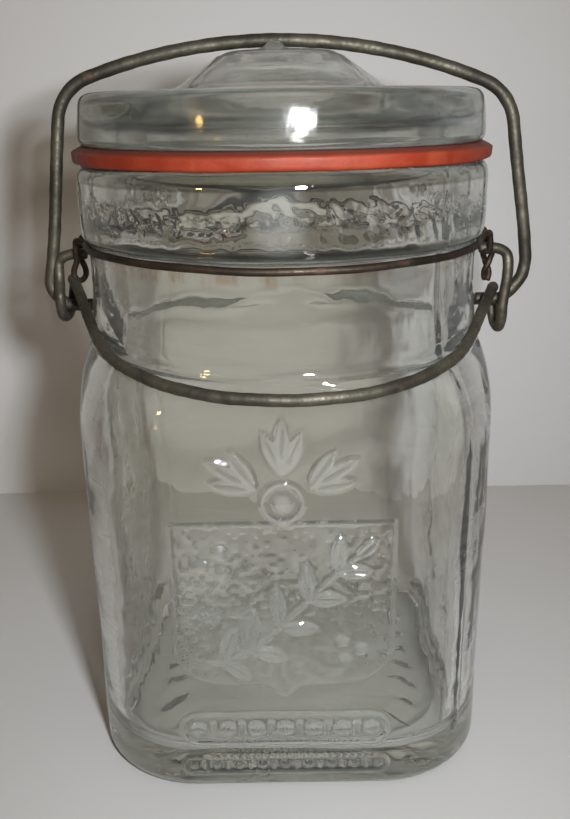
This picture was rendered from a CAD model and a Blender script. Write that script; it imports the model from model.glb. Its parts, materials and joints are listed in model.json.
# Square glass canning jar with a wire toggle closure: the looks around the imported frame.
import json
from math import acos, atan, atan2, ceil, cos, pi, radians, sin, sqrt, tan

import bpy
import numpy as np
from mathutils import Matrix, Vector


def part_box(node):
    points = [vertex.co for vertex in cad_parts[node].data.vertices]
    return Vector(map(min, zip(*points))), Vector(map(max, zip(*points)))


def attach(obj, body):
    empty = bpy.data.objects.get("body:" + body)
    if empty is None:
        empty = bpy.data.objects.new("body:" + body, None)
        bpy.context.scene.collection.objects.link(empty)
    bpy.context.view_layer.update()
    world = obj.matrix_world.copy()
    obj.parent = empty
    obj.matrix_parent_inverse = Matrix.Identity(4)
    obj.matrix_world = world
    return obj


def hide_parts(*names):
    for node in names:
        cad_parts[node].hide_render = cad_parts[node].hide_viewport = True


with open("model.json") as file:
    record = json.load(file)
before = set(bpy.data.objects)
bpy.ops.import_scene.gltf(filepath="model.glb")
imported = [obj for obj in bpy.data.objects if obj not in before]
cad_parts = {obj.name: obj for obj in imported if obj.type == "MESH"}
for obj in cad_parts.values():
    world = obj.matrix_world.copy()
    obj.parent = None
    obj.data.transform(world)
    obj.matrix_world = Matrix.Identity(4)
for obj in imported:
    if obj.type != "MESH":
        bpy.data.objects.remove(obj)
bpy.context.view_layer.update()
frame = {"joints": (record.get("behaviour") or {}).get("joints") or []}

# ---- frame, in millimetres

MM = 0.001


def box_corner(node, end=1):
    """Lowest (end 0) or highest (end 1) corner of a CAD node, in millimetres."""
    return Vector(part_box(node)[end]) / MM


jar_high, lid_high = box_corner("jar"), box_corner("glass_lid")
ring_high, bail_high = box_corner("rubber_gasket"), box_corner("lid_bail")
joint_z = {j["name"]: j["pos_m"][2] / MM for j in frame["joints"] if "pos_m" in j}

# Body of the jar
BAND_R = jar_high.x
HALF = BAND_R - 0.5
CORNER = 26.5
HEEL = 3.5
PUSH_UP = 2.6
SHOULDER_Z = 85.0
SHOULDER_RISE = 19.5
NECK_R = 47.5
NECK_FLARE = 0.95
NECK_FOOT_Z = 104.7
BAND_Z = 130.2
MOUTH_Z = jar_high.z
MOUTH_R = 41.0
LIP_ROUND = 3.8
SEAMS = (pi / 4, 5 * pi / 4)

# Inside of the jar
WALL = 4.6
FLOOR_Z = 7.0
INNER_HALF = HALF - WALL
INNER_CORNER = CORNER - WALL
INNER_HEEL = 7.0
INNER_R = 42.5
CREASE_Z = 102.0
INNER_SHOULDER_Z = 83.0
INNER_MOUTH_Z = 129.0
CRINKLE_Z = 136.6

# Lid and ring
LID_R = lid_high.x
PLUG_Z = box_corner("glass_lid", 0).z
LID_Z = ring_high.z
LID_TOP_Z = 162.0
BOSS_Z = 171.8
RING_R = ring_high.x
TIP_Z = MOUTH_Z + 0.72 * (LID_Z - MOUTH_Z)
SEAL_GAP = 0.03

# Wires
PIVOT_Z = joint_z["lever_hinge"]
BAIL_Z = joint_z["bail_hinge"]
BAIL_WIRE = 1.55
LEVER_WIRE = 1.35
TIE_WIRE = 0.75
TIE_Z = 127.4
TIE_ROOT_Y = 10.0
TIE_ROOT_X = sqrt((NECK_R + 0.8) ** 2 - TIE_ROOT_Y ** 2)
LOOP_X = 51.7
LOOP_GAP = LEVER_WIRE + 0.06 + TIE_WIRE
HAIRPIN_Z = 119.2
TANG_Z = 116.0
COIL_R = 3.85
RIGHT_COIL = (103.6, 113.9, 55.4)
LEFT_COIL = (108.0, 117.6, 56.4)
CRANK_X = 57.1
COIL_IN_X = 53.7
HANDLE_TILT = radians(8.5)
HANDLE_REACH = 56.6
HANDLE_ARC = 44.8
ARCH_R = 135.0
ARCH_Z = bail_high.z - BAIL_WIRE - ARCH_R
BEND_R = 12.0
ARM_LEAN = radians(8.5)
FOOT_X = bail_high.x - BAIL_WIRE
FOOT_BEND = 5.5
STUB_TIP_X = 49.3
BAIL_LEAN = 1.4


# ---- small maths

def ease(low, high, value):
    """0 below low, 1 above high and a smooth step between."""
    t = np.clip((np.asarray(value, float) - low) / (high - low), 0, 1)
    return t * t * (3 - 2 * t)


def lerp(a, b, t):
    return a + (b - a) * t


def waves(u, v, terms):
    """Sum of sine waves over two coordinates: terms hold (amount, u count, v count, phase)."""
    total = 0
    for amount, along_u, along_v, phase in terms:
        total = total + amount * np.sin(along_u * u + along_v * v + phase)
    return total


def value_noise(x, y, pitch, seed):
    """Smooth random bumps between 0 and 1, one per cell of the given pitch."""
    table = np.random.default_rng(seed).random((64, 64))
    gx, gy = x / pitch, y / pitch
    ix, iy = np.floor(gx).astype(int), np.floor(gy).astype(int)
    tx, ty = ease(0, 1, gx - ix), ease(0, 1, gy - iy)

    def cell(i, j):
        return table[i % 64, j % 64]

    low = lerp(cell(ix, iy), cell(ix + 1, iy), tx)
    high = lerp(cell(ix, iy + 1), cell(ix + 1, iy + 1), tx)
    return lerp(low, high, ty)


def rounded_path(corners, steps=6):
    """Polyline of (r, z) with each corner rounded: corners hold (r, z, rounding)."""
    points = [np.array(c[:2], float) for c in corners]
    path = [points[0]]
    for i in range(1, len(corners) - 1):
        size = corners[i][2]
        here = points[i]
        back, ahead = points[i - 1] - here, points[i + 1] - here
        if size <= 0:
            path.append(here)
            continue
        reach_in = min(size, 0.5 * np.linalg.norm(back))
        reach_out = min(size, 0.5 * np.linalg.norm(ahead))
        start = here + back / np.linalg.norm(back) * reach_in
        end = here + ahead / np.linalg.norm(ahead) * reach_out
        for t in np.linspace(0, 1, steps):
            path.append((1 - t) ** 2 * start + 2 * t * (1 - t) * here + t * t * end)
    path.append(points[-1])
    return np.array(path)


def fill_path(path, longest):
    """The same polyline with no repeated point and no step over the given length."""
    filled = [path[0]]
    for a, b in zip(path[:-1], path[1:]):
        count = int(ceil((np.linalg.norm(b - a) - 1e-6) / longest))
        filled += [lerp(a, b, (k + 1) / count) for k in range(count)]
    return np.array(filled)


def spline(points, step=0.5):
    """Smooth curve through the given points, resampled to even steps."""
    p = np.array(points, float)
    p = np.vstack([2 * p[0] - p[1], p, 2 * p[-1] - p[-2]])
    dense = []
    for a, b, c, d in zip(p[:-3], p[1:-2], p[2:-1], p[3:]):
        for t in np.linspace(0, 1, 16, endpoint=False):
            dense.append(0.5 * (2 * b + (c - a) * t + (2 * a - 5 * b + 4 * c - d) * t ** 2
                                + (3 * b - a - 3 * c + d) * t ** 3))
    dense.append(p[-2])
    return even_steps(np.array(dense), step)


def even_steps(path, step):
    """Resamples a dense polyline to even steps."""
    lengths = np.concatenate([[0], np.cumsum(np.linalg.norm(np.diff(path, axis=0), axis=1))])
    marks = np.linspace(0, lengths[-1], max(2, int(round(lengths[-1] / step)) + 1))
    return np.stack([np.interp(marks, lengths, path[:, k]) for k in range(path.shape[1])], axis=1)


# ---- mesh building

def link_object(name, data):
    """New object in the scene."""
    obj = bpy.data.objects.new(name, data)
    bpy.context.scene.collection.objects.link(obj)
    return obj


def make_object(name, points, faces):
    """Smooth-shaded mesh object from points in millimetres."""
    mesh = bpy.data.meshes.new(name)
    mesh.from_pydata((np.asarray(points) * MM).tolist(), [], faces)
    mesh.update()
    mesh.shade_smooth()
    return link_object(name, mesh)


def strip_faces(first, second, count):
    """Quads between two closed rings of vertices that start at first and second."""
    faces = []
    for k in range(count):
        n = (k + 1) % count
        faces.append((first + k, first + n, second + n, second + k))
    return faces


def fan_faces(pole, ring, count, flip):
    """Triangles between a pole and a closed ring."""
    faces = []
    for k in range(count):
        n = (k + 1) % count
        faces.append((pole, ring + n, ring + k) if not flip else (pole, ring + k, ring + n))
    return faces


def zip_faces(first, first_angles, second, second_angles):
    """Triangles between two closed rings whose vertices stand at different angles."""
    faces = []
    i, j = 0, 0
    count_a, count_b = len(first_angles), len(second_angles)
    while i < count_a or j < count_b:
        next_a = first_angles[i + 1] if i + 1 < count_a else first_angles[0] + 2 * pi
        next_b = second_angles[j + 1] if j + 1 < count_b else second_angles[0] + 2 * pi
        a, b = first + i % count_a, second + j % count_b
        if j >= count_b or (i < count_a and next_a <= next_b):
            faces.append((a, first + (i + 1) % count_a, b))
            i += 1
        else:
            faces.append((a, second + (j + 1) % count_b, b))
            j += 1
    return faces


def without_loose(points, faces):
    """Drops the points that no face uses."""
    used = sorted({v for face in faces for v in face})
    place = {v: k for k, v in enumerate(used)}
    return points[used], [tuple(place[v] for v in face) for face in faces]


def revolve(name, path, columns=192, shape=None):
    """Solid of revolution from an (r, z) path; ends with r = 0 become poles."""
    angles = np.linspace(0, 2 * pi, columns, endpoint=False)
    open_start, open_end = path[0][0] > 1e-6, path[-1][0] > 1e-6
    rings = path[0 if open_start else 1: None if open_end else -1]
    r, z = rings[:, 0][:, None], rings[:, 1][:, None]
    points = np.stack([r * np.cos(angles), r * np.sin(angles), z + 0 * angles], axis=2)
    if shape:
        points = shape(points, angles)
    flat = points.reshape(-1, 3)
    faces = []
    for i in range(len(rings) - 1):
        faces += strip_faces(i * columns, (i + 1) * columns, columns)
    if open_start:
        faces += strip_faces((len(rings) - 1) * columns, 0, columns)
    else:
        poles = np.array([[0, 0, path[0][1]], [0, 0, path[-1][1]]])
        flat = np.vstack([flat, poles])
        faces += fan_faces(len(flat) - 2, 0, columns, False)
        faces += fan_faces(len(flat) - 1, (len(rings) - 1) * columns, columns, True)
    return make_object(name, flat, faces)


def tube(path, radius, sides=16, closed=False):
    """Points and faces of a round wire along a path, with cut ends."""
    path = np.asarray(path, float)
    count = len(path)
    if closed:
        tangents = np.roll(path, -1, axis=0) - np.roll(path, 1, axis=0)
    else:
        tangents = np.gradient(path, axis=0)
    tangents /= np.linalg.norm(tangents, axis=1)[:, None]
    side = np.cross(tangents[0], [0.3, 0.2, 0.93])
    turn = np.linspace(0, 2 * pi, sides, endpoint=False)
    points = []
    for i in range(count):
        side = side - tangents[i] * np.dot(side, tangents[i])
        side = side / np.linalg.norm(side)
        other = np.cross(tangents[i], side)
        wear = 1 + 0.018 * sin(i * 0.9) + 0.014 * sin(i * 0.37 + 1.3)
        ring = np.outer(np.cos(turn), side) + np.outer(np.sin(turn), other)
        points.append(path[i] + radius * wear * ring)
    faces = []
    for i in range(count if closed else count - 1):
        faces += strip_faces(i * sides, (i + 1) % count * sides, sides)
    points = np.vstack(points)
    if not closed:
        for end, at in ((0, path[0] - tangents[0] * 0.25), (count - 1, path[-1] + tangents[-1] * 0.25)):
            lip = (points[end * sides:(end + 1) * sides] - path[end]) * 0.72 + at
            base = len(points)
            points = np.vstack([points, lip, at[None]])
            rings = strip_faces(end * sides, base, sides)
            cap = fan_faces(base + sides, base, sides, end != 0)
            faces += cap + ([f[::-1] for f in rings] if end == 0 else rings)
    return points, faces


def wire_object(name, tubes):
    """One object from several tubes."""
    points, faces = [], []
    for tube_points, tube_faces in tubes:
        base = sum(len(p) for p in points)
        points.append(tube_points)
        faces += [tuple(base + v for v in f) for f in tube_faces]
    return make_object(name, np.vstack(points), faces)


# ---- relief on the front

PANEL_X = -1.2
PANEL_HALF = 25.0
PANEL_TOP = 72.3
PANEL_FOOT = 30.5


def ridge(distance, width, height, soft=0.35):
    """Raised line where the distance to its middle is under half its width."""
    return height * ease(0, 1, (width / 2 - np.abs(distance)) / soft + 0.5)


def plate(distance, height, soft=0.5):
    """Raised area where the distance is below zero."""
    return height * ease(0, 1, -distance / soft + 0.5)


def box_distance(x, z, cx, cz, half_x, half_z, corner):
    """Signed distance to a rounded rectangle."""
    qx = np.abs(x - cx) - half_x + corner
    qz = np.abs(z - cz) - half_z + corner
    outside = np.hypot(np.maximum(qx, 0), np.maximum(qz, 0))
    return outside + np.minimum(np.maximum(qx, qz), 0) - corner


def bead(x, z, cx, cz, radius, height):
    """Rounded dome."""
    d = np.hypot(x - cx, z - cz) / radius
    return height * np.sqrt(np.clip(1 - d * d, 0, 1))


def leaf(x, z, cx, cz, angle, length, width, height=0.75):
    """Pointed leaf that starts at (cx, cz), with a sunken midrib and a raised edge."""
    dx, dz = x - cx, z - cz
    along = (dx * cos(angle) + dz * sin(angle)) / length
    across = -dx * sin(angle) + dz * cos(angle)
    inside = np.clip(along, 0, 1)
    half_width = 0.5 * width * np.sin(pi * inside) ** 0.75 + 1e-6
    body = ease(0, 0.35, 1 - np.abs(across) / half_width) * (along > 0) * (along < 1)
    rib = np.exp(-(across / 0.3) ** 2) * ease(0.02, 0.2, along) * ease(1, 0.8, along)
    return body * height * (1 - 0.65 * rib)


def panel_distance(x, z):
    """Signed distance to the panel: straight sides, rounded foot with a small point."""
    dx = np.abs(x - PANEL_X)
    foot = PANEL_FOOT + 8.5 * (dx / PANEL_HALF) ** 7 - 3.6 * np.exp(-(dx / 2.6) ** 2)
    return np.maximum(np.maximum(dx - PANEL_HALF, z - PANEL_TOP), foot - z)


def sprig(x, z):
    """Branch with paired leaves and a few berries."""
    total = np.zeros_like(x)
    for t in np.linspace(0, 1, 41):
        total = np.maximum(total, bead(x, z, *stem_point(t), 0.9, 0.9))
    for t in np.linspace(0.08, 0.88, 5):
        cx, cz = stem_point(t)
        ax, az = stem_point(t + 0.02)
        way = atan2(az - cz, ax - cx)
        for side in (-1, 1):
            angle = way + side * (0.95 - 0.25 * t)
            size = 11.0 - 3.5 * abs(t - 0.4) - (1.5 if side < 0 else 0)
            total = np.maximum(total, leaf(x, z, cx, cz, angle, size, 4.5, 1.35))
    tip = stem_point(1.0)
    total = np.maximum(total, leaf(x, z, *tip, 0.75, 7, 3.6, 1.3))
    for cx, cz in ((-19, 62), (-15.2, 65.2), (-14.6, 60.2), (16.5, 40), (12.8, 37.4), (12.2, 42.2)):
        total = np.maximum(total, bead(x, z, cx, cz, 1.9, 1.2))
    return total


def stem_point(t):
    """Point on the branch's curved stem, from its foot to its tip."""
    return -18 + 33 * t, 36.5 + 27 * t - 7 * sin(pi * t) * (1 - t)


def pill(x, z, cz, half_z, beads, size):
    """Long rounded frame filled with a row of beads and bars."""
    distance = box_distance(x, z, PANEL_X, cz, PANEL_HALF, half_z, half_z)
    total = ridge(distance + 0.45, 1.0, 0.75)
    for k in range(beads):
        cx = PANEL_X + (k - (beads - 1) / 2) * 2 * (PANEL_HALF - half_z) / (beads - 1)
        if k % 2:
            bar = box_distance(x, z, cx, cz, size * 0.42, size, size * 0.3)
            total = np.maximum(total, plate(bar, 0.8, 0.4))
        else:
            total = np.maximum(total, bead(x, z, cx, cz, size, 0.95))
    return total


def crest(x, z):
    """Plain ring with three sprays of leaves over the panel."""
    cx, cz = -1.0, 77.0
    d = np.hypot(x - cx, z - cz)
    total = ridge(d - 4.4, 1.0, 0.6)
    total = np.maximum(total, bead(x, z, cx, cz, 2.3, 0.7))
    for lean in (-1.02, 0.0, 1.02):
        way = pi / 2 - lean
        foot = (cx + 6.6 * cos(way), cz + 6.6 * sin(way))
        for fan in (-0.42, 0.0, 0.42):
            size = 13.2 if fan == 0 else 10.6
            total = np.maximum(total, leaf(x, z, *foot, way + fan, size, 4.4, 0.7))
    return total


def front_relief(x, z):
    """Height of the pressed decoration over the front face."""
    panel = panel_distance(x, z)
    inside = ease(0.2, -0.6, panel)
    grain = value_noise(x + 40, z, 1.1, 3) * 0.75 + value_noise(x + 70, z, 2.1, 4) * 0.35
    motif = sprig(x, z) * inside
    field = 0.62 * grain * inside * (1 - ease(0.02, 0.2, motif))
    frame_line = ridge(panel + 0.5, 1.0, 0.5)
    total = np.maximum(np.maximum(field, motif), frame_line)
    total = np.maximum(total, crest(x, z))
    total = np.maximum(total, pill(x, z, 18.0, 4.4, 13, 2.2))
    total = np.maximum(total, pill(x, z, 7.6, 2.7, 17, 1.2))
    return total


# ---- jar

FRONT_SPAN = 27.0
FRONT_EDGE = atan(FRONT_SPAN / HALF)
FRONT_COLUMNS = 133
SIDE_COLUMNS = 137
ROW_PITCH = 0.46
SIDE_ROWS = 4
MOUTH_COLUMNS = 420
INNER_COLUMNS = 216


def column_angles():
    """Directions of the jar's mesh columns, measured from the front face's middle."""
    dense = np.arctan(np.linspace(-FRONT_SPAN, FRONT_SPAN, FRONT_COLUMNS) / HALF)
    edge = dense[-1]
    coarse = np.linspace(edge, 2 * pi - edge, SIDE_COLUMNS)[1:-1]
    seams = [a + d for a in SEAMS for d in (-0.012, 0, 0.012)]
    coarse = [a for a in coarse if min(abs(a - s) for s in seams) > 0.014]
    return np.sort(np.concatenate([dense, coarse, seams]))


def even_angles(count):
    """Even directions, from the one where the dense front columns start."""
    return np.linspace(0, 2 * pi, count, endpoint=False) - FRONT_EDGE


def outline_reach(angle, half, corner):
    """Distance from the centre to a rounded square, in the given directions."""
    a = np.abs((angle + pi / 4) % (pi / 2) - pi / 4)
    centre = half - corner
    along = centre * (np.cos(a) + np.sin(a))
    across = centre * (np.cos(a) - np.sin(a))
    arc = along + np.sqrt(np.maximum(corner ** 2 - across ** 2, 0))
    return np.where(half * np.tan(a) <= centre, half / np.cos(a), arc)


def square_ring(angles, half, corner, z):
    """One closed ring of the jar's mesh. Angle 0 faces the front, -Y."""
    reach = outline_reach(angles, half, min(corner, half))
    return np.stack([reach * np.sin(angles), -reach * np.cos(angles), z + 0 * angles], axis=1)


def rings_at(rings, angles):
    """Grid of points for a list of rings."""
    return np.array([square_ring(angles, *ring) for ring in rings])


def corner_for(half, reach):
    """Corner radius that gives a rounded square this reach along its diagonal."""
    return min(half, (half * sqrt(2) - reach) / (sqrt(2) - 1))


def shoulder_curve():
    """Diagonal reach and height from the body's top to the neck."""
    full = (HALF - CORNER) * sqrt(2) + CORNER
    drop = full - NECK_R
    curve = []
    for a in np.radians(np.concatenate([np.linspace(2, 46, 24), np.linspace(49, 75, 12)])):
        curve.append((NECK_R + drop * cos(a), SHOULDER_Z + SHOULDER_RISE * sin(a)))
    start = np.array(curve[-1])
    knee, end = np.array([NECK_R + 1.2, NECK_FOOT_Z]), np.array([NECK_R + NECK_FLARE, 108.5])
    for t in np.linspace(0, 1, 8)[1:]:
        curve.append(tuple((1 - t) ** 2 * start + 2 * t * (1 - t) * knee + t * t * end))
    return curve


def outer_rings():
    """Half size, corner radius and height of the outside's rings, from the base to the lip."""
    rings = []
    foot_half, foot_corner = HALF - HEEL, CORNER - HEEL
    for s in np.linspace(0.04, 1, 28):
        half = s * foot_half
        z = PUSH_UP * max(0, 1 - (s / 0.82) ** 2)
        rings.append((half, lerp(half, foot_corner, s ** 2), z))
    heel_heights = [HEEL * (1 - cos(a)) for a in np.radians(np.linspace(9, 80, 8))]
    heights = heel_heights + list(np.arange(HEEL, SHOULDER_Z, ROW_PITCH))
    for z in heights:
        inset = HEEL * (1 - sqrt(max(0, 1 - (1 - min(z, HEEL) / HEEL) ** 2)))
        rings.append((HALF - inset, CORNER - inset, z))
    for reach, z in shoulder_curve():
        t = ease(88, NECK_FOOT_Z, z)
        half = lerp(HALF, NECK_R + 1.2, t) if z < NECK_FOOT_Z else reach
        rings.append((half, corner_for(half, reach), z))
    for z in np.linspace(109.5, 126.5, 9):
        r = NECK_R + NECK_FLARE * (1 - ease(108.5, 118, z))
        rings.append((r, r, z))
    band = rounded_path([
        (NECK_R, 127.5, 0), (NECK_R + 0.1, 128.6, 0.8), (BAND_R - 0.35, BAND_Z - 0.7, 0.9),
        (BAND_R, BAND_Z + 2.4, 2.6), (BAND_R - 0.1, MOUTH_Z, LIP_ROUND), (43.6, MOUTH_Z, 0)
    ], 7)
    for r, z in fill_path(band, 2.2):
        rings.append((r, r, z))
    return rings


def mouth_rings(angles):
    """Rings of the inside of the mouth, from the lip to below its crinkled ring."""
    lip = rounded_path([
        (43.2, MOUTH_Z, 0), (MOUTH_R, MOUTH_Z, 2.2), (MOUTH_R, 134.8, 0.8),
        (INNER_R, 131.2, 1.2), (INNER_R, INNER_MOUTH_Z, 0)
    ], 5)
    return rings_at([(r, r, z) for r, z in fill_path(lip, 0.7)], angles)


def inner_rings(angles):
    """Rings of the inside, from the neck down to the middle of the floor."""
    rings = []
    for z in np.linspace(INNER_MOUTH_Z - 1, CREASE_Z + 0.4, 14):
        r = INNER_R + 0.2 * ease(112, CREASE_Z, z)
        rings.append((r, r, z))
    full = (INNER_HALF - INNER_CORNER) * sqrt(2) + INNER_CORNER
    rise = CREASE_Z - INNER_SHOULDER_Z
    for a in np.radians(np.linspace(84, 0, 16)):
        z = INNER_SHOULDER_Z + rise * sin(a)
        reach = INNER_R + (full - INNER_R) * cos(a)
        half = lerp(INNER_HALF, INNER_R + 0.2, ease(86, CREASE_Z, z))
        rings.append((half, corner_for(half, reach), z))
    for z in np.linspace(INNER_SHOULDER_Z - 3, FLOOR_Z + INNER_HEEL, 26):
        rings.append((INNER_HALF, INNER_CORNER, z))
    for a in np.radians(np.linspace(8, 90, 10)):
        inset = INNER_HEEL * (1 - cos(a))
        rings.append((INNER_HALF - inset, INNER_CORNER - inset, FLOOR_Z + INNER_HEEL * (1 - sin(a))))
    foot_half, foot_corner = INNER_HALF - INNER_HEEL, INNER_CORNER - INNER_HEEL
    for s in np.linspace(0.95, 0.06, 14):
        half = s * foot_half
        z = FLOOR_Z + 1.4 * max(0, 1 - (s / 0.8) ** 2)
        rings.append((half, lerp(half, foot_corner, s ** 2), z))
    return rings_at(rings, angles)


def grid_normals(points):
    """Unit normals of a closed grid of rings, pointing away from the ring's inside."""
    around = np.roll(points, -1, axis=1) - np.roll(points, 1, axis=1)
    along = np.gradient(points, axis=0)
    normals = np.cross(around, along)
    return normals / np.maximum(np.linalg.norm(normals, axis=2), 1e-9)[:, :, None]


def shape_outside(points, angles):
    """Adds the pressed relief, seams, base ribs and slight unevenness of moulded glass."""
    normals = grid_normals(points)
    x, y, z = points[:, :, 0], points[:, :, 1], points[:, :, 2]
    on_front = (y < -20) & (np.abs(x) < FRONT_SPAN) & (z > 3.0) & (z < 101)
    height = np.where(on_front, front_relief(x, z), 0)
    for seam in SEAMS:
        near = np.exp(-((angles - seam) / 0.008) ** 2)[None]
        height = height + near * (0.4 * ease(8, 12, z) - 0.05) * (z > 8)
    uneven = waves(angles[None] + 0 * z, z / 100, [
        (0.10, 3, 5.0, 0.4), (0.08, 5, -9.0, 1.7), (0.06, 9, 14.0, 2.9), (0.05, 14, -21.0, 0.8)])
    height = height + uneven * ease(2, 12, z) * ease(144, 140, z)
    ribs = np.where(np.arange(len(angles)) % 2 == 0, 1.0, 0.0)[None]
    off_front = np.abs((angles + pi) % (2 * pi) - pi)[None] > 0.54
    reach = np.hypot(x, y)
    limit = outline_reach(angles, HALF - HEEL, CORNER - HEEL)[None]
    bearing = ease(0.85, 0.89, reach / limit) * ease(1.03, 0.99, reach / limit)
    height = height - 0.5 * ribs * off_front * bearing * (z < 0.9)
    bars = np.where(np.arange(len(angles)) // 3 % 2 == 0, 1.0, 0.0)[None]
    under = ease(0.62, 0.65, reach / limit) * ease(0.79, 0.76, reach / limit)
    height = height - 0.7 * bars * under * (z < 3)
    return points + normals * height[:, :, None]


def shape_inside(points, angles):
    """Adds the wavy inner surface, the crinkled ring under the mouth and its streaks."""
    x, y, z = points[:, :, 0], points[:, :, 1], points[:, :, 2]
    a = angles[None] + 0 * z
    away = np.stack([x, y, 0 * z], axis=2)
    away = away / np.maximum(np.linalg.norm(away, axis=2), 1e-9)[:, :, None]
    body = ease(12, 24, z) * ease(104, 96, z)
    push = body * waves(a, z / 100, [
        (0.30, 2, 2.1, 0.3), (0.20, 4, -2.4, 1.1), (0.12, 7, 1.3, 2.1), (0.05, 13, -2.1, 0.2)])
    neck = ease(102, 106, z) * ease(134, 128, z)
    push = push + neck * waves(a, z / 100, [
        (0.20, 3, 4.0, 0.9), (0.12, 8, -5.0, 0.1), (0.07, 17, 3.0, 1.9)])
    centre = CRINKLE_Z + waves(a, 0, [(0.9, 3, 0, 0.5), (0.7, 7, 0, 1.2), (0.5, 13, 0, 2.4)])
    ring = np.exp(-((z - centre) / 1.7) ** 2)
    arc = a * MOUTH_R
    crumple = value_noise(arc, z * 1.1, 1.25, 11) + 0.7 * value_noise(arc + 31, z, 0.75, 12) - 0.85
    push = push + ring * (1.4 * crumple - 0.4)
    streak = ease(0.5, 0.8, value_noise(arc, z * 0.08, 1.3, 13))
    below = ease(CRINKLE_Z - 7, CRINKLE_Z - 3, z) * ease(CRINKLE_Z + 1, CRINKLE_Z - 1, z)
    push = push - 0.3 * streak * below
    lifted = ease(14, 6, z) * waves(x / 9, y / 9, [(0.22, 1.0, 0.7, 0.3), (0.2, -0.6, 1.3, 1.0)])
    shaped = points + away * push[:, :, None]
    shaped[:, :, 2] += lifted
    return shaped


def outside_faces(rows, angles, step_rows):
    """Faces over the outside: every row on the front, only some of them on the plain sides."""
    wide = len(angles)
    turn = np.abs((angles + pi) % (2 * pi) - pi)
    front = turn <= FRONT_EDGE + 1e-6
    faces = []
    for i in range(rows - 1):
        if not step_rows.start <= i < step_rows.stop:
            faces += strip_faces(i * wide, (i + 1) * wide, wide)
            continue
        for k in range(wide):
            n = (k + 1) % wide
            here, above = i * wide, (i + 1) * wide
            if front[k] and front[n]:
                faces.append((here + k, here + n, above + n, above + k))
            elif (i - step_rows.start) % SIDE_ROWS == 0:
                top = (i + SIDE_ROWS) * wide
                between = [i + r for r in range(1, SIDE_ROWS)]
                left = [row * wide + k for row in reversed(between)] if front[k] else []
                right = [row * wide + n for row in between] if front[n] else []
                faces.append((here + k, here + n, *right, top + n, top + k, *left))
    return faces


def build_jar():
    """The glass jar as one closed surface."""
    angles, mouth, inner = column_angles(), even_angles(MOUTH_COLUMNS), even_angles(INNER_COLUMNS)
    grids = [
        (shape_outside(rings_at(outer_rings(), angles), angles), angles),
        (shape_inside(mouth_rings(mouth), mouth), mouth),
        (shape_inside(inner_rings(inner), inner), inner)
    ]
    outside, inside = grids[0][0], grids[2][0]
    heights = np.array([ring[2] for ring in outer_rings()])
    body_rows = np.flatnonzero((heights >= HEEL) & (heights < SHOULDER_Z))
    whole = (len(body_rows) - 1) // SIDE_ROWS * SIDE_ROWS
    faces = outside_faces(len(outside), angles, range(body_rows[0], body_rows[0] + whole))
    base, last = 0, None
    for points, turns in grids:
        count = len(turns)
        if last is not None:
            faces += zip_faces(last[0], last[1], base, turns)
            for i in range(len(points) - 1):
                faces += strip_faces(base + i * count, base + (i + 1) * count, count)
        last = (base + (len(points) - 1) * count, turns)
        base += len(points) * count
    points = np.vstack([grid.reshape(-1, 3) for grid, turns in grids])
    base_z, floor_z = outside[0, :, 2].mean(), inside[-1, :, 2].mean()
    points = np.vstack([points, [[0, 0, base_z + 0.01], [0, 0, floor_z + 0.02]]])
    faces += fan_faces(len(points) - 2, 0, len(angles), False)
    faces += fan_faces(len(points) - 1, last[0], INNER_COLUMNS, True)
    return make_object("jar_glass", *without_loose(points, faces))


# ---- lid and ring

def under_bail(x, y):
    """Height that stays just under the bail's bar as it swings over the lid."""
    inner = ARCH_R - BAIL_WIRE - 0.25
    reach = ARCH_Z + np.sqrt(inner ** 2 - np.minimum(x ** 2, 60 ** 2)) - BAIL_Z
    return BAIL_Z + np.sqrt(np.maximum(reach ** 2 - y ** 2, 1))


def shape_lid(points, angles):
    """Crowns the top of the boss and makes the pressed glass slightly uneven."""
    x, y, z = points[:, :, 0], points[:, :, 1], points[:, :, 2]
    a = angles[None] + 0 * z
    uneven = waves(a, z / 10, [(0.05, 3, 1.0, 0.2), (0.045, 5, -2.0, 1.3), (0.03, 11, 3.0, 0.5)])
    reach = np.maximum(np.hypot(x, y), 1e-6)
    scale = 1 + uneven * ease(5, 15, reach) / reach
    points = points * np.stack([scale, scale, np.ones_like(scale)], axis=2)
    crown = under_bail(x, y) - (BOSS_Z - z) * 0.4
    points[:, :, 2] = np.where(z > BOSS_Z - 2.2, np.minimum(z, crown), z)
    nub = np.exp(-(((x + 1.4) / 2.3) ** 2 + ((y + 3.9) / 1.7) ** 2) ** 2)
    points[:, :, 2] += np.where(z > BOSS_Z - 1.6, 1.7 * nub, 0)
    return points


def build_lid():
    """Pressed glass lid: thick rim, hollow raised centre and a plug below."""
    low = LID_Z + SEAL_GAP
    path = rounded_path([
        (0, 168.2, 0), (9.6, 168.2, 2.0), (15.5, 165.0, 2.5), (22, 159.5, 3), (25.5, 154.8, 3),
        (33, 154.5, 1.5), (33.4, PLUG_Z, 1.2), (37.6, PLUG_Z, 1.0), (38.7, low, 0.8),
        (LID_R - 0.8, low, 0.6), (LID_R, low + 1.4, 0.8), (LID_R - 0.2, low + 5.6, 2.0),
        (LID_R - 0.9, LID_TOP_Z, 3.0), (27.5, LID_TOP_Z - 0.4, 3),
        (24.2, LID_TOP_Z + 1.2, 1.6), (14.2, BOSS_Z - 1.6, 1.6), (12, BOSS_Z, 1.6),
        (0, BOSS_Z, 0)
    ], 7)
    path = fill_path(path, 1.3)
    near_axis = [i for i, p in enumerate(path) if p[0] < 0.5 and 0 < i < len(path) - 1]
    path = np.delete(path, near_axis, axis=0)
    return revolve("lid_glass", path, 192, shape_lid)


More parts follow.
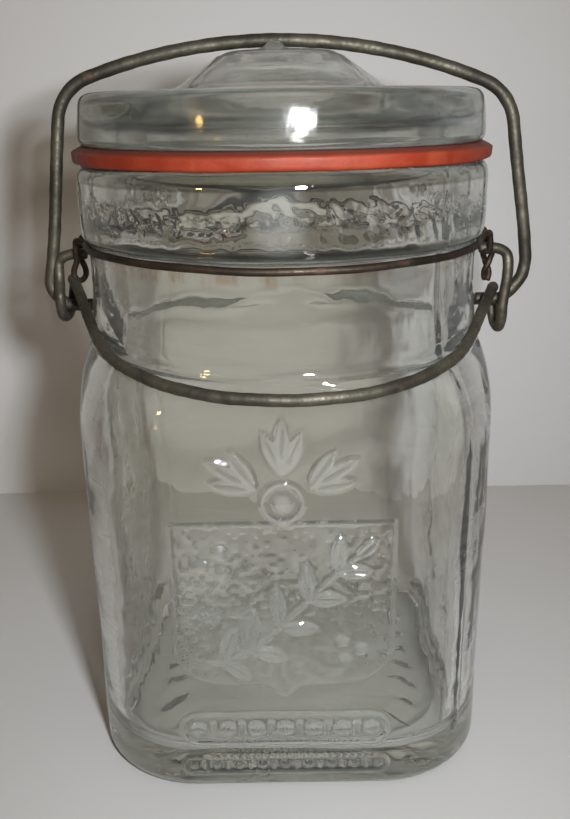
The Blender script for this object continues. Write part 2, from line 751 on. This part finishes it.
def shape_ring(points, angles):
    """Soft unevenness of an old rubber ring where it stands out of the joint."""
    x, y, z = points[:, :, 0], points[:, :, 1], points[:, :, 2]
    reach = np.hypot(x, y)
    a = angles[None] + 0 * z
    free = ease(46.5, RING_R, reach)
    swell = waves(a, 0, [(0.10, 3, 0, 0.4), (0.08, 7, 0, 1.5), (0.05, 19, 0, 0.6), (0.04, 31, 0, 2.2)])
    scale = 1 + free * swell / reach
    points = points * np.stack([scale, scale, np.ones_like(scale)], axis=2)
    points[:, :, 2] += free * waves(a, 0, [(0.12, 1, 0, 0.3), (0.08, 4, 0, 1.0), (0.05, 11, 0, 0.2)])
    return points


def build_ring():
    """Rubber sealing ring with a bevelled upper edge and a thumb-worn side."""
    low, high = MOUTH_Z + SEAL_GAP, LID_Z - SEAL_GAP
    path = rounded_path([
        (40.5, low, 0), (49.3, low, 0.4), (RING_R - 0.3, low + 0.45, 0.5), (RING_R - 0.1, TIP_Z, 0.5),
        (RING_R - 2.1, high, 0.4), (39.6, high, 0.8), (39.6, low, 0.8), (40.5, low, 0)
    ], 5)
    path = fill_path(path[:-1], 0.8)
    return revolve("rubber_ring", path, 240, shape_ring)


# ---- wires

def smoothed(value, low, high):
    """A smooth step of one number."""
    return float(ease(low, high, value))


def mirrored(right, left):
    """One path from a right side and from a left side that is given as a right one."""
    return np.vstack([right, (left * np.array([-1, 1, 1]))[::-1][1:]])


def arc_points(centre, radius, angles):
    """Points of an arc in a plane."""
    return [centre + radius * np.array([cos(a), sin(a)]) for a in angles]


def handle_path(start):
    """Handle of the lever on the right: from the coil to the middle of the front."""
    centre = np.array([0.0, HANDLE_ARC - HANDLE_REACH])
    top = np.array([start[0], 0.0])
    run = np.linalg.norm(top - centre)
    tangent = atan2(*(top - centre)[::-1]) - acos(HANDLE_ARC / run)
    touch = arc_points(centre, HANDLE_ARC, [tangent])[0]
    plan = [top + (touch - top) * t for t in np.linspace(0.04, 1, 24)]
    plan += arc_points(centre, HANDLE_ARC, np.linspace(tangent, -pi / 2, 44)[1:])
    lift = start[2] - BAIL_Z
    path = []
    for x, y in plan:
        reach = -y * cos(HANDLE_TILT)
        rise = lift * (1 - smoothed(reach, 0, 26))
        path.append([x, -reach, BAIL_Z - tan(HANDLE_TILT) * reach + rise])
    return path


def lever_side(coil_low, coil_high, coil_x):
    """Right side of the lever: pin, leaning crank, coil and half of the handle."""
    coil_z, coil_r = (coil_low + coil_high) / 2, (coil_high - coil_low) / 2
    points = [[49.7, 0, PIVOT_Z], [51.8, 0, PIVOT_Z], [53.6, 0, PIVOT_Z - 0.1]]
    points += [[CRANK_X - 1.3, 0, PIVOT_Z - 0.9], [CRANK_X - 0.2, -0.1, PIVOT_Z - 2.6]]
    points += [[CRANK_X - 0.3, -1.3, lerp(PIVOT_Z - 2.6, BAIL_Z, 0.4)]]
    start, end = radians(163), radians(450)
    for t in np.linspace(0, 1, 26):
        turn = lerp(start, end, t)
        x = lerp(coil_x, COIL_IN_X, smoothed(t, 0.25, 1))
        points.append([x, COIL_R * cos(turn), coil_z + coil_r * sin(turn)])
    side = points + handle_path(points[-1])
    return spline(side, 0.55)


def build_lever():
    """Lower wire in one length: pins, cranks, coils and handle."""
    path = mirrored(lever_side(*RIGHT_COIL), lever_side(*LEFT_COIL))
    count = len(path)
    ramp = ease(0.35, 0.65, np.arange(count) / count)
    bent = waves(np.linspace(0, 40, count), 0, [(0.07, 1, 0, 0.2), (0.05, 2.7, 0, 1.0)])
    handle_share = ease(8, 30, -path[:, 1])
    path[:, 2] += bent * handle_share + 0.5 * (ramp - 0.5) * handle_share
    return wire_object("lever_wire_steel", [tube(path, LEVER_WIRE)])


def bail_side():
    """Right half of the bail, from its stub to the top of the arch."""
    foot = np.array([FOOT_X, BAIL_Z + FOOT_BEND * (1 + sin(ARM_LEAN))])
    foot_c = foot - FOOT_BEND * np.array([cos(ARM_LEAN), sin(ARM_LEAN)])
    up = np.array([-sin(ARM_LEAN), cos(ARM_LEAN)])
    inward = np.array([-cos(ARM_LEAN), -sin(ARM_LEAN)])
    offset = foot + BEND_R * inward - np.array([0, ARCH_Z])
    along = float(offset @ up)
    run = -along + sqrt(along ** 2 - offset @ offset + (ARCH_R - BEND_R) ** 2)
    bend_c = offset + run * up + np.array([0, ARCH_Z])
    meet = atan2(bend_c[1] - ARCH_Z, bend_c[0])
    plan = [[x, BAIL_Z] for x in (STUB_TIP_X, 51, 53)]
    plan += arc_points(foot_c, FOOT_BEND, np.linspace(-pi / 2, ARM_LEAN, 12))
    arm_end = arc_points(bend_c, BEND_R, [ARM_LEAN])[0]
    plan += [lerp(foot, arm_end, t) for t in np.linspace(0.1, 0.95, 12)]
    plan = [[x - 1.6 * smoothed(z, 120, 112) * (x > 57), z] for x, z in plan]
    plan += arc_points(bend_c, BEND_R, np.linspace(ARM_LEAN, meet, 14))
    plan += arc_points(np.array([0, ARCH_Z]), ARCH_R, np.linspace(meet, pi / 2, 26)[1:])
    return spline([[x, 0, z] for x, z in plan], 0.7)


def build_bail():
    """Upper wire in one length, a little bent to one side by use."""
    path = mirrored(bail_side(), bail_side())
    x, z = path[:, 0].copy(), path[:, 2].copy()
    upper = ease(118, 130, z)
    path[:, 0] += BAIL_LEAN * ease(BAIL_Z + 1, 122, z) + 0.2 * np.sin(z / 9.0) * upper
    path[:, 2] -= 0.02 * x * ease(118, 150, z)
    path[:, 1] += 0.2 * np.sin(path[:, 0] / 11.0) * upper
    return wire_object("lid_bail_steel", [tube(path, BAIL_WIRE)])


def loop_root(sign):
    """First points of a loop's leg, where it leaves the tie wire."""
    return [[TIE_ROOT_X, TIE_ROOT_Y * sign, TIE_Z], [TIE_ROOT_X + 1.2, 7.5 * sign, TIE_Z + 0.2]]


def hairpin(side, twist):
    """Open loop of tie wire around the lever's pin, turned a little about its own length."""
    leg = loop_root(-1) + [[50.6, -4.4, TIE_Z + 0.5], [51.5, -2.9, TIE_Z - 0.4]]
    leg += [[LOOP_X, -LOOP_GAP, PIVOT_Z]]
    gap = LOOP_GAP * 0.9
    foot = []
    for turn in np.linspace(pi, 2 * pi, 9):
        foot.append([LOOP_X, gap * cos(turn), HAIRPIN_Z + gap * sin(turn)])
    back = [[x, -y, z] for x, y, z in leg[::-1]]
    path = spline(leg + foot + back, 0.35)
    turned = path.copy()
    angle = twist * ease(PIVOT_Z - 1, HAIRPIN_Z, path[:, 2])
    turned[:, 0] = LOOP_X + (path[:, 0] - LOOP_X) * np.cos(angle) - path[:, 1] * np.sin(angle)
    turned[:, 1] = (path[:, 0] - LOOP_X) * np.sin(angle) + path[:, 1] * np.cos(angle)
    return tube(turned * np.array([side, 1, 1]), TIE_WIRE, 12)


def twisted_tang():
    """Loop on the right whose lower ends are twisted together and cut off."""
    tubes = []
    for sign in (-1, 1):
        points = loop_root(sign) + [[50.4, 4.6 * sign, TIE_Z + 0.9], [51.4, 3.0 * sign, TIE_Z + 0.2]]
        points += [[LOOP_X, LOOP_GAP * sign, PIVOT_Z]]
        for t in np.linspace(0.12, 1, 14):
            turn = pi * 1.9 * t
            gap = sign * lerp(LOOP_GAP, 0.72 - 0.12 * t, smoothed(t, 0, 0.36))
            z = lerp(PIVOT_Z, TANG_Z, t)
            points.append([LOOP_X + gap * sin(turn), gap * cos(turn), z])
        tubes.append(tube(spline(points, 0.35), TIE_WIRE, 12))
    return tubes


def build_tie_wire():
    """Rusty wire drawn tight under the band, with its two loops."""
    turn = np.linspace(0, 2 * pi, 300, endpoint=False)
    reach = NECK_R + 0.92 + waves(turn, 0, [(0.05, 5, 0, 0.3), (0.04, 12, 0, 1.1)])
    height = TIE_Z + waves(turn, 0, [(0.22, 2, 0, 0.9), (0.12, 5, 0, 0.1), (0.06, 13, 0, 2.0)])
    circle = np.stack([reach * np.cos(turn), reach * np.sin(turn), height], axis=1)
    tubes = [tube(circle, TIE_WIRE + 0.1, 12, closed=True), hairpin(-1, radians(38))]
    return wire_object("tie_wire_steel", tubes + twisted_tang())


# ---- node materials

class Nodes:
    """Node tree of a material or of the world, with a short call for each kind of node."""

    def __init__(self, owner):
        self.owner = owner
        owner.use_nodes = True
        self.tree = owner.node_tree
        self.tree.nodes.clear()

    def add(self, kind, settings=None, **inputs):
        """Adds a shader node, sets its settings and links or sets its inputs."""
        node = self.tree.nodes.new("ShaderNode" + kind)
        for key, value in (settings or {}).items():
            setattr(node, key, value)
        for key, value in inputs.items():
            numbered = key[0] == "i" and key[1:].isdigit()
            socket = node.inputs[int(key[1:]) if numbered else key.replace("_", " ")]
            if isinstance(value, bpy.types.NodeSocket):
                self.tree.links.new(value, socket)
            else:
                socket.default_value = value
        return node

    def out(self, kind, settings=None, **inputs):
        """First output of a new node."""
        return self.add(kind, settings, **inputs).outputs[0]

    def mix(self, share, a, b, blend="MIX"):
        """Mix of two colours."""
        settings = {"data_type": "RGBA", "blend_type": blend}
        return self.add("Mix", settings, i0=share, i6=a, i7=b).outputs[2]

    def math(self, operation, a, b=0.0):
        return self.out("Math", {"operation": operation}, i0=a, i1=b)

    def times(self, a, b):
        return self.math("MULTIPLY", a, b)

    def plus(self, a, b):
        return self.math("ADD", a, b)

    def spread(self, value, low, high, to_low=0.0, to_high=1.0):
        """Maps a range of values smoothly onto another."""
        return self.out("MapRange", {"interpolation_type": "SMOOTHSTEP"}, Value=value,
                        From_Min=low, From_Max=high, To_Min=to_low, To_Max=to_high)

    def noise(self, coords, scale, detail=3.0, roughness=0.55, warp=0.0):
        return self.add("TexNoise", None, Vector=coords, Scale=scale, Detail=detail,
                        Roughness=roughness, Distortion=warp).outputs["Fac"]

    def coords(self):
        return self.add("TexCoord").outputs["Object"]

    def axis(self, coords, name):
        return self.add("SeparateXYZ", None, Vector=coords).outputs[name]

    def stretched(self, coords, x, y, z):
        return self.out("VectorMath", {"operation": "MULTIPLY"}, i0=coords, i1=(x, y, z))

    def bump(self, height, distance, strength=1.0, normal=None):
        below = {} if normal is None else {"Normal": normal}
        return self.out("Bump", None, Height=height, Distance=distance, Strength=strength, **below)

    def finish(self, surface, volume=None, kind="OutputMaterial"):
        """Links the output and gives back the material."""
        inputs = {"Surface": surface} if volume is None else {"Surface": surface, "Volume": volume}
        self.add(kind, None, **inputs)
        return self.owner


def new_material(name):
    return Nodes(bpy.data.materials.new(name))


GLASS_TINT = (0.955, 0.955, 0.94, 1)
SMEAR_TINT = (0.92, 0.92, 0.90, 1)
GLASS_DEPTH = (0.50, 0.51, 0.42, 1)
CLEAR_SHADE = (0.93, 0.925, 0.90, 1)
EDGE_SHADE = (0.12, 0.10, 0.08, 1)
FILM_COLOUR = (0.62, 0.65, 0.64, 1)
RELIEF_FILM = 0.10
RUST_STAIN = (0.62, 0.36, 0.16, 1)


# Strips that thick pressed edges darken: low, high, softness and tint
JAR_EDGES = (
    (MOUTH_Z - 3.4, MOUTH_Z + 1.0, 0.5, (0.44, 0.44, 0.36, 1)),
    (MOUTH_Z - 3.9, MOUTH_Z - 3.2, 0.3, (0.28, 0.25, 0.18, 1)),
    (BAND_Z - 1.3, BAND_Z + 0.6, 0.4, (0.07, 0.07, 0.045, 1))
)


def level_strip(n, height, low, high, soft):
    """1 inside a level strip and 0 outside it, all in millimetres."""
    rise = n.spread(height, (low - soft) * MM, (low + soft) * MM)
    return n.times(rise, n.spread(height, (high - soft) * MM, (high + soft) * MM, 1, 0))


def jar_edges(n, coords, height, colour):
    """Darkens the pressed lip, the band's lower edge and specks of the crinkled ring."""
    for low, high, soft, tint in JAR_EDGES:
        colour = n.mix(level_strip(n, height, low, high, soft), colour, tint, "MULTIPLY")
    specks = n.spread(n.noise(n.stretched(coords, 1, 1, 1.7), 330, 3, 0.6), 0.50, 0.60)
    crinkle = n.times(level_strip(n, height, CRINKLE_Z - 1.4, CRINKLE_Z + 1.0, 0.8), specks)
    return n.mix(crinkle, colour, (0.18, 0.165, 0.12, 1), "MULTIPLY")


def lid_edges(n, coords, height, colour):
    """Darkens a lens-shaped strip on each side of the rim."""
    aside = n.math("ABSOLUTE", n.axis(coords, "X"))
    strip = level_strip(n, height, LID_Z + 3.4, LID_Z + 5.7, 0.7)
    strip = n.times(strip, n.spread(aside, 0.006, 0.022, 0.25, 1))
    strip = n.times(strip, n.spread(aside, 0.036, 0.043, 1, 0))
    return n.mix(strip, colour, (0.06, 0.05, 0.03, 1), "MULTIPLY")


def rust_stain(n, coords, height, colour, rough):
    """Rusty stain line and its drips under the tie wire."""
    off = n.math("ABSOLUTE", n.math("SUBTRACT", height, (TIE_Z - 2.2) * MM))
    band = n.spread(off, 0.0006, 0.0026, 1, 0)
    drips = n.spread(n.noise(n.stretched(coords, 1, 1, 0.3), 210, 4, 0.65), 0.46, 0.66)
    stain = n.times(band, drips)
    colour = n.mix(n.times(stain, 0.7), colour, RUST_STAIN)
    return colour, n.plus(rough, n.times(stain, 0.25))


def pale_film(n, coords, edge, film, of_jar):
    """Share of a thin pale film: more in streaks, at glancing angles and on the jar's relief."""
    streaks = n.noise(n.stretched(coords, 1, 1, 5.0), 60, 5, 0.6, 0.8)
    share = n.times(film, n.spread(streaks, 0.3, 0.7, 0.5, 1.5))
    share = n.times(share, n.spread(edge, 0.05, 0.6, 0.45, 3.2))
    if of_jar:
        ahead = n.times(n.axis(coords, "Y"), -1 / MM)
        share = n.plus(share, n.spread(ahead, HALF + 0.15, HALF + 0.75, 0, RELIEF_FILM))
    return share


def glass_material(name, of_jar, smear=0.045, haze=0.0, film=0.03, density=11.0):
    """Old soda glass: faint tint, darker edges, smears, a pale film and the jar's rusty stain."""
    n = new_material(name)
    coords = n.coords()
    height = n.axis(coords, "Z")
    smears = n.noise(n.stretched(coords, 1, 1, 0.45), 55, 5, 0.6, 0.6)
    specks = n.noise(coords, 900, 2)
    rough = n.spread(smears, 0.48, 0.72, 0.004 + haze, smear + haze)
    rough = n.plus(rough, n.spread(specks, 0.68, 0.8, 0, 0.12))
    colour = n.mix(n.spread(smears, 0.4, 0.8), GLASS_TINT, SMEAR_TINT)
    colour = (jar_edges if of_jar else lid_edges)(n, coords, height, colour)
    if of_jar:
        colour, rough = rust_stain(n, coords, height, colour, rough)
    ripple = n.times(n.noise(n.stretched(coords, 1, 1, 0.25), 240, 2), 0.22)
    normal = n.bump(n.plus(n.noise(coords, 70, 2), ripple), 0.00045, 0.6)
    glass = n.out("BsdfPrincipled", None, Base_Color=colour, Roughness=rough, IOR=1.5,
                  Transmission_Weight=1.0, Normal=normal)
    edge = n.add("LayerWeight", None, Blend=0.35).outputs["Facing"]
    dust = n.out("BsdfDiffuse", None, Color=FILM_COLOUR, Normal=normal)
    share = pale_film(n, coords, edge, film, of_jar)
    dusty = n.out("MixShader", None, i0=share, i1=glass, i2=dust)
    shade = n.mix(n.spread(edge, 0.15, 0.75), CLEAR_SHADE, EDGE_SHADE)
    clear = n.out("BsdfTransparent", None, Color=shade)
    shadow_ray = n.add("LightPath").outputs["Is Shadow Ray"]
    surface = n.out("MixShader", None, i0=shadow_ray, i1=dusty, i2=clear)
    depth = n.out("VolumeAbsorption", None, Color=GLASS_DEPTH, Density=density)
    return n.finish(surface, depth)


def wire_material(name, dark, light, rust, rust_share, shine=0.52):
    """Old drawn wire: worn metal, olive and brown patina, rust in patches, fine pitting."""
    n = new_material(name)
    coords = n.coords()
    broad = n.noise(coords, 70, 4, 0.6, 0.4)
    fine = n.noise(coords, 900, 4, 0.7)
    flecks = tuple(c * 0.45 for c in dark[:3]) + (1,)
    mottled = n.mix(n.spread(broad, 0.35, 0.65), dark, light)
    mottled = n.mix(n.spread(fine, 0.3, 0.75, 0, 0.55), mottled, flecks)
    patch = n.spread(n.noise(coords, 160, 5, 0.7), 0.62 - 0.3 * rust_share, 0.72 - 0.1 * rust_share)
    patch = n.times(patch, 0.35 + 0.6 * rust_share)
    rough = n.plus(n.spread(fine, 0.25, 0.8, shine - 0.08, shine + 0.16), n.times(patch, 0.25))
    metal = n.math("SUBTRACT", 0.72, n.times(patch, 0.6))
    normal = n.bump(broad, 0.0005, 0.4, n.bump(fine, 0.00012, 0.75))
    return n.finish(n.out("BsdfPrincipled", None, Base_Color=n.mix(patch, mottled, rust),
                          Roughness=rough, Metallic=metal, Normal=normal))


RUBBER = (0.17, 0.020, 0.008, 1)
CHALKY_RUBBER = (0.22, 0.034, 0.014, 1)
RUBBER_GRAIN = (0.10, 0.016, 0.009, 1)
RUBBER_DIRT = (0.05, 0.014, 0.009, 1)


def rubber_material():
    """Orange-red rubber, darker and dirtier on the bevel, chalky in patches."""
    n = new_material("red_rubber")
    coords = n.coords()
    patches = n.noise(coords, 90, 4, 0.6, 0.5)
    grain = n.noise(coords, 1600, 3, 0.6)
    colour = n.mix(n.spread(patches, 0.35, 0.7), RUBBER, CHALKY_RUBBER)
    colour = n.mix(n.spread(grain, 0.55, 0.8, 0, 0.3), colour, RUBBER_GRAIN)
    bevel = n.spread(n.axis(coords, "Z"), (TIP_Z - 0.1) * MM, (TIP_Z + 0.45) * MM)
    dirt = n.times(bevel, n.spread(patches, 0.2, 0.6, 0.4, 0.65))
    colour = n.mix(dirt, colour, RUBBER_DIRT)
    rough = n.spread(patches, 0.3, 0.7, 0.42, 0.6)
    normal = n.bump(grain, 0.0001, 0.6, n.bump(patches, 0.0006, 0.35))
    return n.finish(n.out("BsdfPrincipled", None, Base_Color=colour, Roughness=rough,
                          Normal=normal, Specular_IOR_Level=0.25))


def floor_material():
    """Matt pale board with a very faint grain."""
    n = new_material("pale_floor")
    coords = n.coords()
    mottle = n.noise(coords, 9, 4)
    colour = n.mix(mottle, (0.60, 0.60, 0.60, 1), (0.64, 0.64, 0.64, 1))
    normal = n.bump(n.noise(coords, 700, 3), 0.0001, 0.3)
    return n.finish(n.out("BsdfPrincipled", None, Base_Color=colour, Roughness=0.7,
                          Normal=normal))


def card_material():
    """Pale backdrop seen only from the front: it is clear from behind and at a glancing angle."""
    n = new_material("pale_card")
    geometry = n.add("NewGeometry")
    facing = n.add("VectorMath", {"operation": "DOT_PRODUCT"}, i0=geometry.outputs["Incoming"],
                   i1=(0, -1, 0)).outputs["Value"]
    shown = n.spread(facing, 0.2, 0.4)
    matt = n.out("BsdfDiffuse", None, Color=(0.66, 0.66, 0.66, 1))
    return n.finish(n.out("MixShader", None, i0=shown, i1=n.out("BsdfTransparent"), i2=matt))


# ---- stage

CARD_Y = 130
CAMERA_AT = Vector((-0.00014, -0.222, 0.158))
CAMERA_PITCH = radians(19.0)
CAMERA_ROLL = radians(-0.89)
LENS = 38.46
FLASH_AT = Vector((0.037, -0.225, 0.179))
LAMP_AT = Vector((-0.62, -0.66, 0.27))


def flat_card(name, corners, material):
    obj = make_object(name, corners, [(0, 1, 2, 3)])
    obj.data.materials.append(material)


def build_stage():
    """Pale floor and a pale card behind the jar."""
    z = -0.1
    floor = [(-1600, -1600, z), (1600, -1600, z), (1600, 1600, z), (-1600, 1600, z)]
    card = [(-600, CARD_Y, z), (600, CARD_Y, z), (600, CARD_Y, 800), (-600, CARD_Y, 800)]
    flat_card("floor", floor, floor_material())
    flat_card("card", card, card_material())


def aim(obj, place, target):
    obj.location = place
    obj.rotation_euler = (Vector(target) - Vector(place)).to_track_quat("-Z", "Y").to_euler()


def area_light(name, place, target, size, power, colour):
    data = bpy.data.lights.new(name, "AREA")
    data.shape = "DISK"
    data.size = size
    data.energy = power
    data.color = colour
    obj = link_object(name, data)
    aim(obj, place, target)
    return obj


def build_lights():
    """Small neutral key by the camera, soft overhead fill and a faint warm lamp on the left."""
    middle = (0, 0, 0.09)
    key = area_light("key", FLASH_AT, (-0.02, 0.13, 0.075), 0.024, 0.41, (0.95, 0.98, 1.0))
    key.data.spread = radians(120)
    area_light("overhead", (0.25, -0.35, 1.15), middle, 0.9, 1.1, (1.0, 0.86, 0.70))
    area_light("side_fill", (1.0, 0.1, 0.5), middle, 0.6, 0.5, (1.0, 0.90, 0.78))
    area_light("lamp", LAMP_AT, middle, 0.05, 0.35, (1.0, 0.62, 0.22))


def build_world():
    """Dim warm light all round; to the eye it is pale ahead and dark to the sides and behind."""
    world = bpy.data.worlds.new("room")
    bpy.context.scene.world = world
    n = Nodes(world)
    direction = n.add("TexCoord").outputs["Generated"]
    to_camera = {"vector_type": "VECTOR", "convert_from": "WORLD", "convert_to": "CAMERA"}
    turned = n.out("VectorTransform", to_camera, Vector=direction)
    ahead, up = n.axis(turned, "Z"), n.axis(direction, "Z")
    room = n.mix(n.spread(up, -0.1, 0.8), (0.045, 0.04, 0.032, 1), (0.13, 0.125, 0.115, 1))
    seen = n.mix(n.spread(ahead, 0.35, 0.8), room, (0.42, 0.42, 0.415, 1))
    rays = n.add("LightPath").outputs
    through = n.math("MAXIMUM", rays["Is Transmission Ray"], rays["Is Glossy Ray"])
    looked_at = n.math("MAXIMUM", rays["Is Camera Ray"], through)
    colour = n.mix(looked_at, (0.095, 0.072, 0.052, 1), seen)
    n.finish(n.out("Background", None, Color=colour, Strength=1.0), kind="OutputWorld")


def build_camera():
    """Close camera, a little above the lid, looking down at the jar."""
    data = bpy.data.cameras.new("camera")
    data.sensor_width = 36.0
    data.lens = LENS
    data.clip_start, data.clip_end = 0.01, 20.0
    obj = link_object("camera", data)
    turn = Matrix.Rotation(pi / 2 - CAMERA_PITCH, 4, "X") @ Matrix.Rotation(CAMERA_ROLL, 4, "Z")
    obj.matrix_world = Matrix.Translation(CAMERA_AT) @ turn
    bpy.context.scene.camera = obj


def set_light_paths():
    """Enough bounces for nested glass, and a plain view of the colours."""
    scene = bpy.context.scene
    bounces = {"max": 20, "transmission": 20, "transparent_max": 24, "glossy": 8, "diffuse": 3}
    for kind, count in bounces.items():
        setattr(scene.cycles, kind + "_bounces", count)
    scene.cycles.caustics_reflective = False
    scene.cycles.caustics_refractive = False
    scene.cycles.sample_clamp_indirect = 6.0
    scene.view_settings.view_transform = "Standard"
    scene.view_settings.look = "None"


# ---- assembly

WORN_STEEL = ((0.05, 0.044, 0.034, 1), (0.115, 0.104, 0.078, 1), (0.12, 0.055, 0.026, 1))
RUSTY_STEEL = ((0.024, 0.017, 0.012, 1), (0.06, 0.042, 0.028, 1), (0.08, 0.034, 0.018, 1))


def dress(obj, material, body, node):
    """Gives a piece its material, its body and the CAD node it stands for."""
    obj.data.materials.append(material)
    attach(obj, body)
    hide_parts(node)


def build_pieces():
    jar_glass = glass_material("jar_glass_clear", True)
    lid_glass = glass_material("lid_glass_hazy", False, 0.10, 0.06, 0.055, 30.0)
    rusty = wire_material("rusty_tie_wire", *RUSTY_STEEL, 0.3, 0.5)
    lever_steel = wire_material("lever_steel_worn", *WORN_STEEL, 0.15)
    bail_steel = wire_material("bail_steel_worn", *WORN_STEEL, 0.1)
    dress(build_jar(), jar_glass, "jar_body", "jar")
    dress(build_lid(), lid_glass, "lid", "glass_lid")
    dress(build_ring(), rubber_material(), "jar_body", "rubber_gasket")
    dress(build_tie_wire(), rusty, "jar_body", "neck_wire")
    dress(build_lever(), lever_steel, "lever", "lever_wire")
    dress(build_bail(), bail_steel, "bail", "lid_bail")


build_pieces()
build_stage()
build_lights()
build_world()
build_camera()
set_light_paths()
